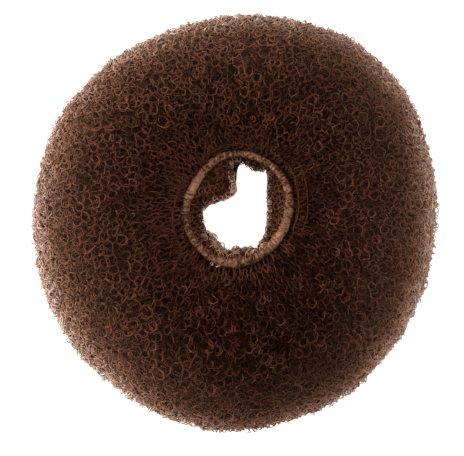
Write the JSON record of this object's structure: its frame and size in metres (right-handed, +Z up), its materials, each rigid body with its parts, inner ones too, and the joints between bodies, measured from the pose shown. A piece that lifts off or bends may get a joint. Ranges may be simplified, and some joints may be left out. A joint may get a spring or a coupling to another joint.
{
  "type": "hair donut bun maker",
  "caption": "Soft ring of rolled-up brown nylon net with an elastic ring round its hole, worn round a ponytail to pad out a bun.",
  "frame": {"origin": "on the axis of the hole, at the surface that the donut lies on", "axes": "+Z up out of that surface along the axis of the hole, towards the side with the elastic ring; +Y the way that the top of the picture points; +X to the picture's right"},
  "size_m": [0.0925, 0.0958, 0.0359],
  "materials": {
    "net_outer": "matte",
    "net_core": "matte",
    "elastic_band": "matte",
    "net_end": "matte"
  },
  "bodies": {
    "root": {"cover_turn": "net_outer", "wound_core": "net_core", "elastic_ring": "elastic_band", "tucked_end": "net_end"}
  },
  "joints": []
}
